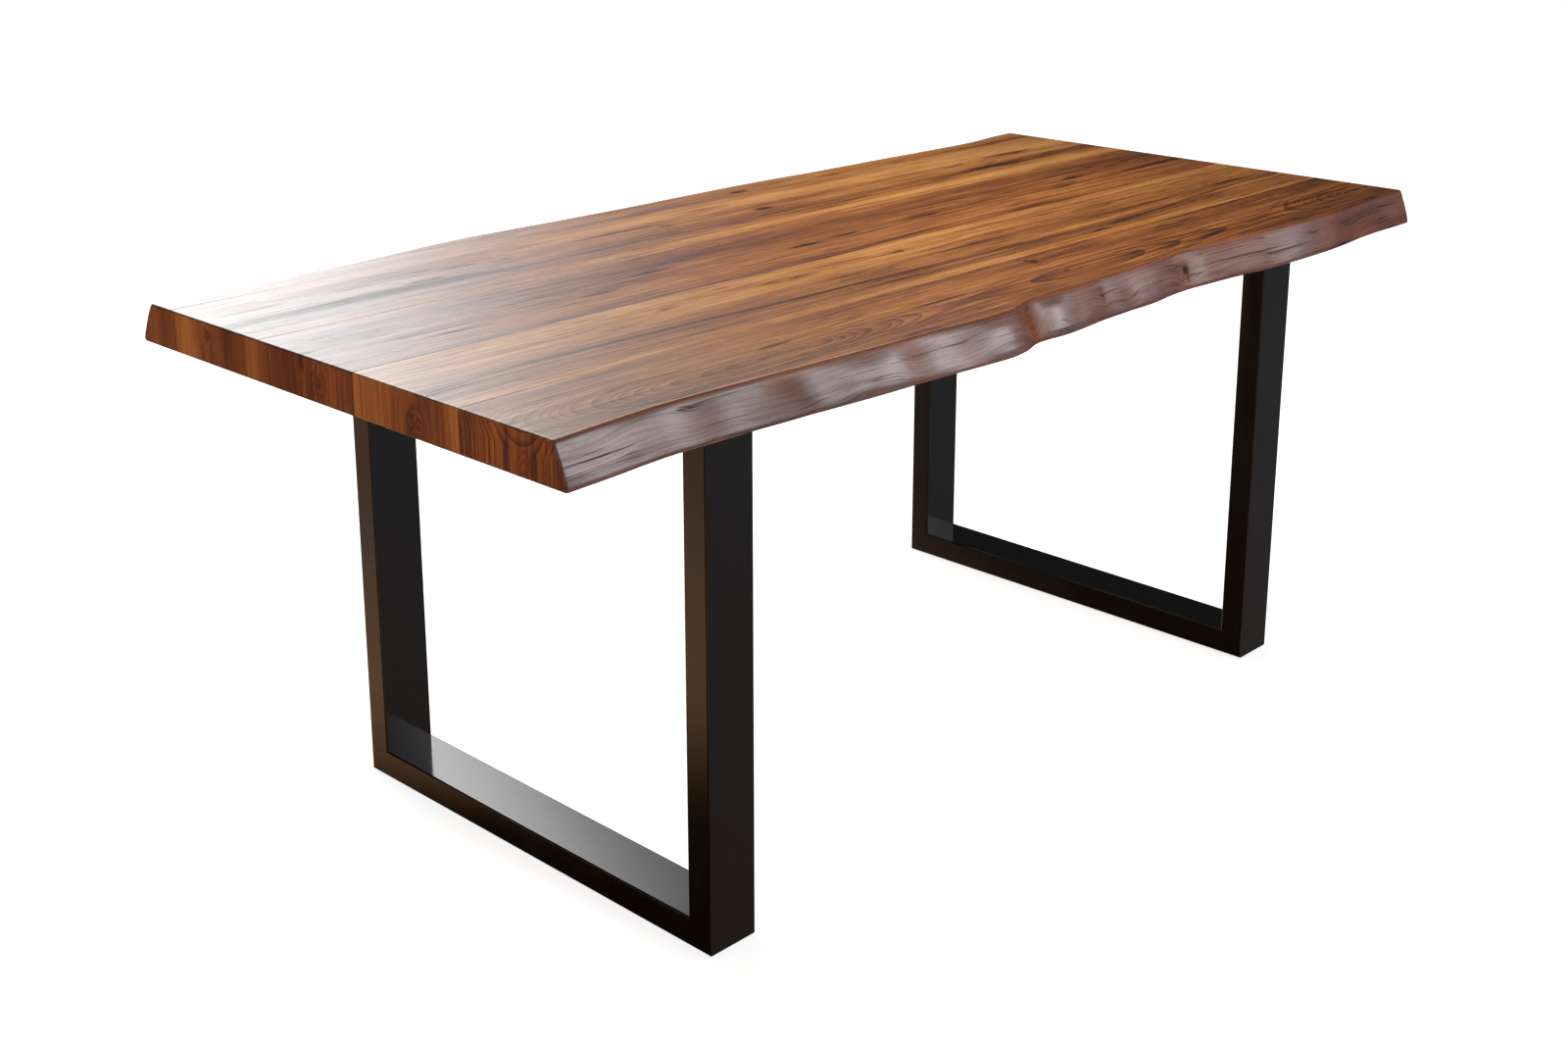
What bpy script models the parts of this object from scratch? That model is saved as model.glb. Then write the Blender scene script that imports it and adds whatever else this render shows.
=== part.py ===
"""Live-edge dining table: five glued boards on two welded steel U-frames.

The origin is on the floor under the middle of the table. +X runs along the boards, +Y across
them and +Z up. All sizes are in metres.
"""

import math

import bmesh
import bpy
from mathutils import Matrix, Vector

# ---------------------------------------------------------------- driving dimensions

TABLE_HEIGHT = 0.760
TOP_LENGTH = 1.856
TOP_THICKNESS = 0.055
GAP = 0.0003  # clearance kept between any two pieces that touch

# Glue lines across the top, from the back (+Y) to the front (-Y).
GLUE_LINES = (0.361, 0.152, -0.051, -0.251)
BOARD_NAMES = (
    "board_back_live_edge",
    "board_back_inner",
    "board_middle",
    "board_front_inner",
    "board_front_live_edge",
)

# The two natural edges: (x, y of the top outline, y of the bottom outline).
FRONT_LIVE_EDGE = (
    (-0.928, -0.4140, -0.4365),
    (-0.850, -0.4065, -0.4310),
    (-0.765, -0.4015, -0.4250),
    (-0.600, -0.4080, -0.4320),
    (-0.500, -0.4130, -0.4375),
    (-0.400, -0.4190, -0.4430),
    (-0.310, -0.4205, -0.4480),
    (-0.215, -0.4295, -0.4545),
    (-0.165, -0.4280, -0.4515),
    (-0.105, -0.4095, -0.4360),
    (-0.035, -0.4135, -0.4370),
    (0.055, -0.4070, -0.4300),
    (0.170, -0.4030, -0.4270),
    (0.245, -0.3970, -0.4180),
    (0.390, -0.4005, -0.4250),
    (0.490, -0.4105, -0.4350),
    (0.600, -0.4155, -0.4380),
    (0.700, -0.4135, -0.4345),
    (0.800, -0.4070, -0.4270),
    (0.928, -0.4090, -0.4270),
)
BACK_LIVE_EDGE = (
    (-0.928, 0.4107, 0.4348),
    (-0.800, 0.4110, 0.4340),
    (-0.620, 0.4125, 0.4345),
    (-0.520, 0.4235, 0.4450),
    (-0.400, 0.4325, 0.4545),
    (-0.250, 0.4285, 0.4520),
    (-0.080, 0.4255, 0.4475),
    (0.120, 0.4280, 0.4505),
    (0.240, 0.4265, 0.4485),
    (0.360, 0.4200, 0.4430),
    (0.550, 0.4150, 0.4370),
    (0.780, 0.4090, 0.4315),
    (0.860, 0.4180, 0.4395),
    (0.928, 0.4219, 0.4440),
)
EDGE_STATIONS = 60  # lengthwise steps of a live-edge board
EDGE_ROWS = 4  # steps down its natural edge
EDGE_BULGE = 0.0015  # how far the natural edge swells past a straight slope

# Beech dowels that register the boards at each glue line.
DOWEL_DIAMETER = 0.012
DOWEL_LENGTH = 0.080
DOWEL_CHAMFER = 0.001
DOWEL_END_ROOM = 0.001  # spare depth of its bore at either end
DOWEL_STATIONS = (-0.780, -0.260, 0.260, 0.780)
DOWEL_SIDES = 12

# Steel frames, of 80 x 40 rectangular tube.
TUBE_DEPTH = 0.080  # along X
TUBE_WIDTH = 0.040  # in the plane of the frame
TUBE_WALL = 0.003
TUBE_EDGE_RADIUS = 0.0015
FRAME_WIDTH = 0.725  # outside the uprights, along Y
FRAME_CENTRE_X = 0.6193  # from the middle of the table to the middle of each frame
FRAME_NAMES = {-1: "left", 1: "right"}
SIDE_NAMES = {-1: "front", 1: "back"}

# The flat steel that closes each frame and carries the top.
PLATE_THICKNESS = 0.006
SLOT_WIDTH = 0.009
SLOT_LENGTH = 0.018
SLOT_SIDES = 12
BOLT_ROW_OFFSET = 0.020  # bolts stand alternately left and right of the frame's middle
BOLT_STATIONS = (-0.285, -0.100, 0.100, 0.285)
PLATE_EDGE = 0.00075

# M8 fasteners.
BOLT_DIAMETER = 0.008
BOLT_LENGTH = 0.022
BOLT_HEAD_ACROSS_FLATS = 0.013
BOLT_HEAD_HEIGHT = 0.0053
WASHER_DIAMETER = 0.021
WASHER_HOLE = 0.0084
WASHER_THICKNESS = 0.0016
INSERT_DIAMETER = 0.012
INSERT_LENGTH = 0.020
INSERT_FLANGE_DIAMETER = 0.016
INSERT_FLANGE_THICKNESS = 0.0012
INSERT_BORE = BOLT_DIAMETER + 2 * GAP
INSERT_END_ROOM = 0.005  # depth of the pocket past the insert
ROUND_STEPS = 16

# Felt glides stuck under each rail.
GLIDE_LENGTH = 0.060
GLIDE_WIDTH = 0.050
GLIDE_THICKNESS = 0.002
GLIDE_INSET = 0.010  # from the end of the rail
GLIDE_EDGE = 0.0005

BOARD_EDGE_BEVEL = 0.0008  # the fine V along each glue line

# ---------------------------------------------------------------- derived places

UNDERSIDE = TABLE_HEIGHT - TOP_THICKNESS
PLATE_TOP = UNDERSIDE - GAP
PLATE_BOTTOM = PLATE_TOP - PLATE_THICKNESS
UPRIGHT_TOP = PLATE_BOTTOM - GAP
FRAME_BOTTOM = GLIDE_THICKNESS + GAP
HALF_LENGTH = TOP_LENGTH / 2
HALF_FRAME = FRAME_WIDTH / 2
CUT_MARGIN = 0.01  # how far a cutter runs past what it cuts
MITRE_CUTTER_SIZE = 0.12
MERGE_DISTANCE = 0.00005  # joins a turned profile's points on its axis
SMOOTH_ANGLE = math.radians(35)  # edges sharper than this stay sharp
BEVEL_ANGLE = math.radians(40)  # edges sharper than this are bevelled

# ---------------------------------------------------------------- materials

# name: (colour, roughness, metallic)
MATERIALS = {
    "walnut_boards": ((0.255, 0.098, 0.030), 0.38, 0.0),
    "beech_dowels": ((0.620, 0.420, 0.240), 0.60, 0.0),
    "black_powder_coat": ((0.012, 0.011, 0.010), 0.30, 0.0),
    "zinc_steel": ((0.560, 0.560, 0.540), 0.35, 1.0),
    "brass_coloured_insert": ((0.640, 0.480, 0.200), 0.40, 1.0),
    "felt": ((0.030, 0.030, 0.030), 0.95, 0.0),
}


def make_material(name):
    colour, roughness, metallic = MATERIALS[name]
    material = bpy.data.materials.new(name)
    material.use_nodes = True
    shader = material.node_tree.nodes["Principled BSDF"]
    shader.inputs["Base Color"].default_value = (*colour, 1.0)
    shader.inputs["Roughness"].default_value = roughness
    shader.inputs["Metallic"].default_value = metallic
    return material


# ---------------------------------------------------------------- building blocks


class Workshop:
    """The two collections and the materials that every piece is made with."""

    def __init__(self):
        for obj in list(bpy.data.objects):
            bpy.data.objects.remove(obj)
        self.parts = self.new_collection("live_edge_table")
        self.cutters = self.new_collection("cutters")
        self.cutters.hide_render = True
        self.materials = {name: make_material(name) for name in MATERIALS}

    @staticmethod
    def new_collection(name):
        collection = bpy.data.collections.new(name)
        bpy.context.scene.collection.children.link(collection)
        return collection

    def add_part(self, name, mesh, material, location=(0, 0, 0)):
        """A named object of the table, shaded smooth between its sharp edges."""
        mesh.materials.append(self.materials[material])
        mesh.shade_smooth()
        mesh.set_sharp_from_angle(angle=SMOOTH_ANGLE)
        part = bpy.data.objects.new(name, mesh)
        part.location = location
        self.parts.objects.link(part)
        return part

    def add_cutter(self, name, mesh, location=(0, 0, 0)):
        cutter = bpy.data.objects.new(name, mesh)
        cutter.location = location
        cutter.hide_render = True
        cutter.display_type = "WIRE"
        self.cutters.objects.link(cutter)
        return cutter


def mesh_from(build, name):
    """A mesh made by build(bm), with its faces turned outwards."""
    bm = bmesh.new()
    build(bm)
    bmesh.ops.recalc_face_normals(bm, faces=bm.faces)
    mesh = bpy.data.meshes.new(name)
    bm.to_mesh(mesh)
    bm.free()
    return mesh


def box_mesh(name, size, centre=(0, 0, 0)):
    place = Matrix.Translation(centre) @ Matrix.Diagonal((*size, 1.0))
    return mesh_from(lambda bm: bmesh.ops.create_cube(bm, size=1.0, matrix=place), name)


def cylinder_mesh(name, diameter, length, sides, axis="Z"):
    """A cylinder centred on its own origin, lying along an axis."""
    turns = {"Z": Matrix(), "Y": Matrix.Rotation(math.pi / 2, 4, "X")}

    def build(bm):
        bmesh.ops.create_cone(
            bm,
            cap_ends=True,
            segments=sides,
            radius1=diameter / 2,
            radius2=diameter / 2,
            depth=length,
            matrix=turns[axis],
        )

    return mesh_from(build, name)


def profile_mesh(name, points):
    """An open or closed chain of edges in the XZ plane, for a Screw modifier."""
    mesh = bpy.data.meshes.new(name)
    edges = [(i, i + 1) for i in range(len(points) - 1)]
    mesh.from_pydata([(x, 0.0, z) for x, z in points], edges, [])
    return mesh


def close_profile(mesh):
    mesh.edges.add(1)
    mesh.edges[-1].vertices = (len(mesh.vertices) - 1, 0)
    return mesh


def add_bevel(part, width, segments=1):
    bevel = part.modifiers.new("edge_bevel", "BEVEL")
    bevel.width = width
    bevel.segments = segments
    bevel.limit_method = "ANGLE"
    bevel.angle_limit = BEVEL_ANGLE


def add_screw(part, steps=ROUND_STEPS):
    """Turns the part's profile round its own Z axis."""
    screw = part.modifiers.new("turn", "SCREW")
    screw.axis = "Z"
    screw.steps = steps
    screw.render_steps = steps
    screw.use_merge_vertices = True
    screw.merge_threshold = MERGE_DISTANCE


def cut(part, cutter):
    boolean = part.modifiers.new("cut_" + cutter.name, "BOOLEAN")
    boolean.operation = "DIFFERENCE"
    boolean.solver = "EXACT"
    boolean.object = cutter


# ---------------------------------------------------------------- the live edges


def smooth_between(points, x):
    """The outline's (top y, bottom y) at x: a Catmull-Rom curve through its points."""
    last = len(points) - 2
    i = next((k for k in range(last) if x < points[k + 1][0]), last)
    near, far = points[i], points[i + 1]
    before = points[max(i - 1, 0)]
    after = points[min(i + 2, len(points) - 1)]
    span = far[0] - near[0]
    t = (x - near[0]) / span
    found = []
    for k in (1, 2):
        slope_in = (far[k] - before[k]) / (far[0] - before[0])
        slope_out = (after[k] - near[k]) / (after[0] - near[0])
        found.append(
            (2 * t**3 - 3 * t**2 + 1) * near[k]
            + (t**3 - 2 * t**2 + t) * slope_in * span
            + (3 * t**2 - 2 * t**3) * far[k]
            + (t**3 - t**2) * slope_out * span
        )
    return found


def live_edge_section(outline, glue_y, x):
    """The board's cross-section at x: down its natural edge, then up its glued edge."""
    top_y, bottom_y = smooth_between(outline, x)
    outward = math.copysign(1.0, top_y)
    section = []
    for row in range(EDGE_ROWS + 1):
        down = row / EDGE_ROWS
        bulge = outward * EDGE_BULGE * math.sin(math.pi * down)
        y = top_y + (bottom_y - top_y) * down + bulge
        section.append(Vector((x, y, TABLE_HEIGHT - TOP_THICKNESS * down)))
    section.append(Vector((x, glue_y, UNDERSIDE)))
    section.append(Vector((x, glue_y, TABLE_HEIGHT)))
    return section


def live_edge_mesh(name, outline, glue_y):
    """A loft through cross-sections that differ all along the board."""

    def build(bm):
        rings = []
        for step in range(EDGE_STATIONS + 1):
            x = -HALF_LENGTH + TOP_LENGTH * step / EDGE_STATIONS
            section = live_edge_section(outline, glue_y, x)
            rings.append([bm.verts.new(point) for point in section])
        count = len(rings[0])
        for ring, following in zip(rings, rings[1:]):
            for k in range(count):
                after = (k + 1) % count
                bm.faces.new((ring[k], ring[after], following[after], following[k]))
        bm.faces.new(rings[0])
        bm.faces.new(rings[-1])

    return mesh_from(build, name)


# ---------------------------------------------------------------- the top


def make_boards(shop):
    """Five boards, edge to edge. The first and the last keep their natural edge."""
    boards = []
    for k, name in enumerate(BOARD_NAMES):
        if k == 0:
            mesh = live_edge_mesh(name, BACK_LIVE_EDGE, GLUE_LINES[0] + GAP / 2)
            board = shop.add_part(name, mesh, "walnut_boards")
        elif k == len(BOARD_NAMES) - 1:
            mesh = live_edge_mesh(name, FRONT_LIVE_EDGE, GLUE_LINES[-1] - GAP / 2)
            board = shop.add_part(name, mesh, "walnut_boards")
        else:
            back, front = GLUE_LINES[k - 1], GLUE_LINES[k]
            size = (TOP_LENGTH, back - front - GAP, TOP_THICKNESS)
            place = (0, (back + front) / 2, TABLE_HEIGHT - TOP_THICKNESS / 2)
            board = shop.add_part(name, box_mesh(name, size), "walnut_boards", place)
            add_bevel(board, BOARD_EDGE_BEVEL)
        boards.append(board)
    return boards


def dowel_mesh(name):
    """A chamfered dowel along Y."""
    radius, half = DOWEL_DIAMETER / 2, DOWEL_LENGTH / 2

    def build(bm):
        turn = Matrix.Rotation(math.pi / 2, 4, "X")
        bmesh.ops.create_cone(
            bm,
            cap_ends=True,
            segments=DOWEL_SIDES,
            radius1=radius,
            radius2=radius,
            depth=2 * half,
            matrix=turn,
        )
        rims = [edge for edge in bm.edges if abs(edge.verts[0].co.y - edge.verts[1].co.y) < half]
        bmesh.ops.bevel(bm, geom=rims, offset=DOWEL_CHAMFER, segments=1, affect="EDGES")

    return mesh_from(build, name)


def make_dowels(shop, boards):
    """A row of dowels across each glue line, in blind bores half in either board."""
    middle_z = TABLE_HEIGHT - TOP_THICKNESS / 2
    bore_length = DOWEL_LENGTH + 2 * DOWEL_END_ROOM
    bore = cylinder_mesh("dowel_bore", DOWEL_DIAMETER + 2 * GAP, bore_length, DOWEL_SIDES, "Y")
    shape = dowel_mesh("dowel")
    shape.materials.append(shop.materials["beech_dowels"])
    for line, glue_y in enumerate(GLUE_LINES):
        for number, x in enumerate(DOWEL_STATIONS):
            label = f"{line + 1}_{number + 1}"
            dowel = bpy.data.objects.new(f"dowel_{label}", shape)
            dowel.location = (x, glue_y, middle_z)
            shop.parts.objects.link(dowel)
            cutter = shop.add_cutter(f"dowel_bore_{label}", bore, dowel.location)
            for board in boards[line : line + 2]:
                cut(board, cutter)


# ---------------------------------------------------------------- the frames


def make_tube(shop, name, size, open_axis, centre):
    """A rectangular tube, open at both ends of one axis."""
    hollow = [value - 2 * TUBE_WALL for value in size]
    hollow[open_axis] = size[open_axis] + CUT_MARGIN
    tube = shop.add_part(name, box_mesh(name, size), "black_powder_coat", centre)
    add_bevel(tube, TUBE_EDGE_RADIUS, segments=2)
    cut(tube, shop.add_cutter(name + "_hollow", box_mesh(name + "_bore", hollow), centre))
    return tube


def mitre_cutter(shop, name, corner, turn):
    """A block whose face lies on the joint at a lower corner, turned about X, and GAP / 2 back from it."""
    reach = MITRE_CUTTER_SIZE
    block = box_mesh(name, (TUBE_DEPTH + CUT_MARGIN, reach, reach), (0, 0, -reach / 2))
    back = Matrix.Rotation(turn, 3, "X") @ Vector((0, 0, GAP / 2))
    cutter = shop.add_cutter(name, block, Vector(corner) + back)
    cutter.rotation_euler = (turn, 0, 0)
    return cutter


def make_frame(shop, end):
    """One U-frame: a rail on the floor, mitred to two uprights under a flat steel plate."""
    label = FRAME_NAMES[end]
    x = end * FRAME_CENTRE_X
    rail_z = FRAME_BOTTOM + TUBE_WIDTH / 2
    rail_size = (TUBE_DEPTH, FRAME_WIDTH, TUBE_WIDTH)
    rail = make_tube(shop, f"frame_{label}_rail", rail_size, 1, (x, 0, rail_z))
    for side, side_name in SIDE_NAMES.items():
        outer_y = side * HALF_FRAME
        height = UPRIGHT_TOP - FRAME_BOTTOM
        size = (TUBE_DEPTH, TUBE_WIDTH, height)
        centre = (x, outer_y - side * TUBE_WIDTH / 2, FRAME_BOTTOM + height / 2)
        name = f"frame_{label}_upright_{side_name}"
        upright = make_tube(shop, name, size, 2, centre)
        corner = (x, outer_y, FRAME_BOTTOM)
        turn = -side * math.radians(45)
        cut(upright, mitre_cutter(shop, name + "_mitre", corner, turn))
        cut(rail, mitre_cutter(shop, name + "_rail_mitre", corner, turn + math.pi))


def bolt_places(end):
    """(x, y) of the bolts of one frame, stepping from side to side of its middle."""
    for number, y in enumerate(BOLT_STATIONS):
        step = BOLT_ROW_OFFSET if number % 2 else -BOLT_ROW_OFFSET
        yield number + 1, end * FRAME_CENTRE_X + step, y


def slot_mesh(name):
    """A slot with round ends, long across the boards so that the wood can move."""
    straight = (SLOT_LENGTH - SLOT_WIDTH) / 2
    radius = SLOT_WIDTH / 2

    def build(bm):
        outline = []
        for end in (1, -1):
            for step in range(SLOT_SIDES // 2 + 1):
                angle = math.pi * step / (SLOT_SIDES // 2) + (0 if end > 0 else math.pi)
                across = radius * math.cos(angle)
                along = radius * math.sin(angle) + end * straight
                outline.append(bm.verts.new((across, along, -CUT_MARGIN)))
        base = bm.faces.new(outline)
        raised = bmesh.ops.extrude_face_region(bm, geom=[base])["geom"]
        verts = [item for item in raised if isinstance(item, bmesh.types.BMVert)]
        bmesh.ops.translate(bm, verts=verts, vec=(0, 0, 2 * CUT_MARGIN))

    return mesh_from(build, name)


def make_plate(shop, end):
    """The flat steel welded over both uprights, slotted for the bolts."""
    name = f"frame_{FRAME_NAMES[end]}_mounting_plate"
    middle = (end * FRAME_CENTRE_X, 0, PLATE_BOTTOM + PLATE_THICKNESS / 2)
    size = (TUBE_DEPTH, FRAME_WIDTH, PLATE_THICKNESS)
    plate = shop.add_part(name, box_mesh(name, size), "black_powder_coat", middle)
    add_bevel(plate, PLATE_EDGE)
    slot = slot_mesh("bolt_slot")
    for number, x, y in bolt_places(end):
        cutter = shop.add_cutter(f"{name}_slot_{number}", slot, (x, y, middle[2]))
        cut(plate, cutter)


# ---------------------------------------------------------------- fasteners


def hex_head_mesh(name):
    """A bolt's hexagon head, hanging below its own origin."""

    def build(bm):
        corner_radius = BOLT_HEAD_ACROSS_FLATS / 2 / math.cos(math.pi / 6)
        bmesh.ops.create_cone(
            bm,
            cap_ends=True,
            segments=6,
            radius1=corner_radius,
            radius2=corner_radius,
            depth=BOLT_HEAD_HEIGHT,
            matrix=Matrix.Translation((0, 0, -BOLT_HEAD_HEIGHT / 2)),
        )

    return mesh_from(build, name)


def make_bolt(shop, name, place):
    """An M8 hex bolt, head down. place is where its head meets its shank."""
    head = shop.add_part(name, hex_head_mesh(name), "zinc_steel", place)
    shank_length = BOLT_LENGTH + BOLT_HEAD_HEIGHT / 2
    shank = cylinder_mesh("bolt_shank", BOLT_DIAMETER, shank_length, ROUND_STEPS)
    lift = shank_length / 2 - BOLT_HEAD_HEIGHT / 2
    joined = shop.add_cutter(name + "_shank", shank, Vector(place) + Vector((0, 0, lift)))
    union = head.modifiers.new("shank", "BOOLEAN")
    union.operation = "UNION"
    union.solver = "EXACT"
    union.object = joined


def make_washer(shop, name, place):
    inner, outer = WASHER_HOLE / 2, WASHER_DIAMETER / 2
    points = ((outer, 0), (outer, -WASHER_THICKNESS), (inner, -WASHER_THICKNESS), (inner, 0))
    washer = shop.add_part(name, close_profile(profile_mesh(name, points)), "zinc_steel", place)
    add_screw(washer)


def make_insert(shop, name, place):
    """A flanged threaded sleeve, screwed into the board from below."""
    inner, outer, flange = INSERT_BORE / 2, INSERT_DIAMETER / 2, INSERT_FLANGE_DIAMETER / 2
    points = (
        (outer, INSERT_LENGTH),
        (outer, INSERT_FLANGE_THICKNESS),
        (flange, INSERT_FLANGE_THICKNESS),
        (flange, 0),
        (inner, 0),
        (inner, INSERT_LENGTH),
    )
    mesh = close_profile(profile_mesh(name, points))
    insert = shop.add_part(name, mesh, "brass_coloured_insert", place)
    add_screw(insert)


def insert_pocket(shop, name, place):
    """The stepped blind hole that an insert and the tip of its bolt sit in."""
    outer, flange = INSERT_DIAMETER / 2 + GAP, INSERT_FLANGE_DIAMETER / 2 + GAP
    depth, step = INSERT_LENGTH + INSERT_END_ROOM, INSERT_FLANGE_THICKNESS + GAP
    points = (
        (0, depth),
        (outer, depth),
        (outer, step),
        (flange, step),
        (flange, -CUT_MARGIN),
        (0, -CUT_MARGIN),
    )
    pocket = shop.add_cutter(name, profile_mesh(name, points), place)
    add_screw(pocket)
    return pocket


def board_over(boards, y):
    """The board whose glue lines stand either side of y."""
    return boards[sum(1 for line in GLUE_LINES if y < line)]


def make_fasteners(shop, end, boards):
    label = FRAME_NAMES[end]
    for number, x, y in bolt_places(end):
        tag = f"{label}_{number}"
        washer_top = PLATE_BOTTOM - GAP
        head_top = washer_top - WASHER_THICKNESS - GAP
        insert_base = UNDERSIDE + GAP
        make_washer(shop, f"washer_{tag}", (x, y, washer_top))
        make_bolt(shop, f"bolt_{tag}", (x, y, head_top))
        make_insert(shop, f"threaded_insert_{tag}", (x, y, insert_base))
        cut(board_over(boards, y), insert_pocket(shop, f"insert_pocket_{tag}", (x, y, UNDERSIDE)))


def make_glides(shop, end):
    """A felt glide under each end of the rail. It is the only thing that meets the floor."""
    for side, side_name in SIDE_NAMES.items():
        name = f"glide_{FRAME_NAMES[end]}_{side_name}"
        y = side * (HALF_FRAME - GLIDE_INSET - GLIDE_LENGTH / 2)
        size = (GLIDE_WIDTH, GLIDE_LENGTH, GLIDE_THICKNESS)
        place = (end * FRAME_CENTRE_X, y, GLIDE_THICKNESS / 2)
        glide = shop.add_part(name, box_mesh(name, size), "felt", place)
        add_bevel(glide, GLIDE_EDGE)


def main():
    shop = Workshop()
    boards = make_boards(shop)
    make_dowels(shop, boards)
    for end in FRAME_NAMES:
        make_frame(shop, end)
        make_plate(shop, end)
        make_fasteners(shop, end, boards)
        make_glides(shop, end)


main()
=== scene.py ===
"""A live-edge dining table in a plain studio: its five boards, its two steel frames and their finishes.

Metres throughout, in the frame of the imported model: +X along the boards, +Y to the back, +Z up.
"""

import math

import bmesh
import bpy
import numpy as np
from mathutils import Matrix, Vector, noise


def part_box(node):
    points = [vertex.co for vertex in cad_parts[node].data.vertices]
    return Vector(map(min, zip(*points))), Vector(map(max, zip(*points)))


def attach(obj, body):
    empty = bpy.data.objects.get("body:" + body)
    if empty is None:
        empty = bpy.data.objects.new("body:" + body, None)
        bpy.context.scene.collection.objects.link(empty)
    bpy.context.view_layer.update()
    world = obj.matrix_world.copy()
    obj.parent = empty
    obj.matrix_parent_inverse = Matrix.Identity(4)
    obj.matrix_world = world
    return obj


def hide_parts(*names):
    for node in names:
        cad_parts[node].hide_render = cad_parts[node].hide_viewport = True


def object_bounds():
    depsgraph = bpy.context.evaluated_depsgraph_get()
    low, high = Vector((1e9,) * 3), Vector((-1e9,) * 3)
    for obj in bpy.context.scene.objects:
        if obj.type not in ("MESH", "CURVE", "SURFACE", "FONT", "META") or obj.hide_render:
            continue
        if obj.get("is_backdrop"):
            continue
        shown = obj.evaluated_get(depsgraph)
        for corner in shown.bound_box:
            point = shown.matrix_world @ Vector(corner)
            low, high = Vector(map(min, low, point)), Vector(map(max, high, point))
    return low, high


# ---------------------------------------------------------------- the studio

CAMERA_PLACE = (-2.194, -1.967, 1.420)
CAMERA_TURN = (1.3030, 0.0, -0.8046)  # radians, about X, Y and Z
CAMERA_LENS, CAMERA_SENSOR = 46.05, 36.0  # mm
CAMERA_SHIFT_Y = -0.12
CAMERA_CLIP = (0.05, 200.0)

FLOOR_SIZE = 60.0
FLOOR_COLOUR = (0.90, 0.90, 0.895)
FLOOR_GLOW = 0.80  # it is lit from below too, as a light table is
WHITE = (1.0, 1.0, 1.0)

# Soft boxes stand at a bearing from +X, in degrees, and face the table. Their brightness is given
# across the width, from the side with the smaller bearing (0) to the other (1), and may lean.
SOFT_BOX_DISTANCE = 8.0
SOFT_BOX_PIVOT = 0.38  # share of the height at which a leaning fade keeps its place
SOFT_BOXES = (
    {
        "name": "back_left_softbox",
        "bearing": 71.5,
        "aside": -0.27,
        "middle_height": 4.0,
        "size": (7.5, 8.0),
        "radiance": 3.6,
        "colour": WHITE,
        "lean": 0.35,
        "brightness": ((0.0, 0.0), (0.13, 0.08), (0.245, 0.29), (0.34, 0.72), (0.45, 1.08)),
    },
    {
        "name": "front_right_softbox",
        "bearing": -40.0,
        "aside": 0.0,
        "middle_height": 3.5,
        "size": (6.0, 3.4),
        "radiance": 2.15,
        "colour": (1.0, 0.95, 0.97),
        "lean": 0.0,
        "brightness": ((0.0, 0.0), (0.12, 1.0), (0.42, 1.0), (0.60, 0.50), (0.80, 0.12), (1.0, 0.0)),
    },
)
TOP_LIGHT_PLACE = (0.20, -0.04, 1.76)
TOP_LIGHT_SIZE = (0.9, 0.9)
TOP_LIGHT_RADIANCE = 10.0

AMBIENT = 0.25  # what the studio walls give to matt surfaces
# What the walls show in reflections, by the height of the direction: 0 is down, 0.5 level and 1 up.
# They are dark, but towards -X there is a warm glow below the table, weaker in those closest to -X.
DARK_WALLS = (
    (0.0, (0.04, 0.03, 0.025)),
    (0.24, (0.10, 0.075, 0.062)),
    (0.36, (0.12, 0.12, 0.13)),
    (0.47, (0.09, 0.09, 0.095)),
    (0.53, (0.03, 0.03, 0.03)),
)
WARM_GLOW = (
    (0.0, (0.0, 0.0, 0.0)),
    (0.262, (0.012, 0.005, 0.0)),
    (0.287, (0.62, 0.33, 0.17)),
    (0.330, (0.35, 0.21, 0.145)),
    (0.42, (0.19, 0.125, 0.095)),
    (0.50, (0.04, 0.025, 0.025)),
)
FAR_GLOW = (
    (0.30, (0.020, 0.012, 0.008)),
    (0.34, (0.045, 0.028, 0.020)),
    (0.37, (0.110, 0.072, 0.050)),
    (0.395, (0.200, 0.135, 0.098)),
    *WARM_GLOW[-2:],
)
# The X of the directions between which the walls turn into the glow, and the glow into the far one.
GLOW_TURN = (-0.20, -0.45)
FAR_GLOW_TURN = (-0.64, -0.76)


def add_object(name, data):
    made = bpy.data.objects.new(name, data)
    bpy.context.scene.collection.objects.link(made)
    return made


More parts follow.
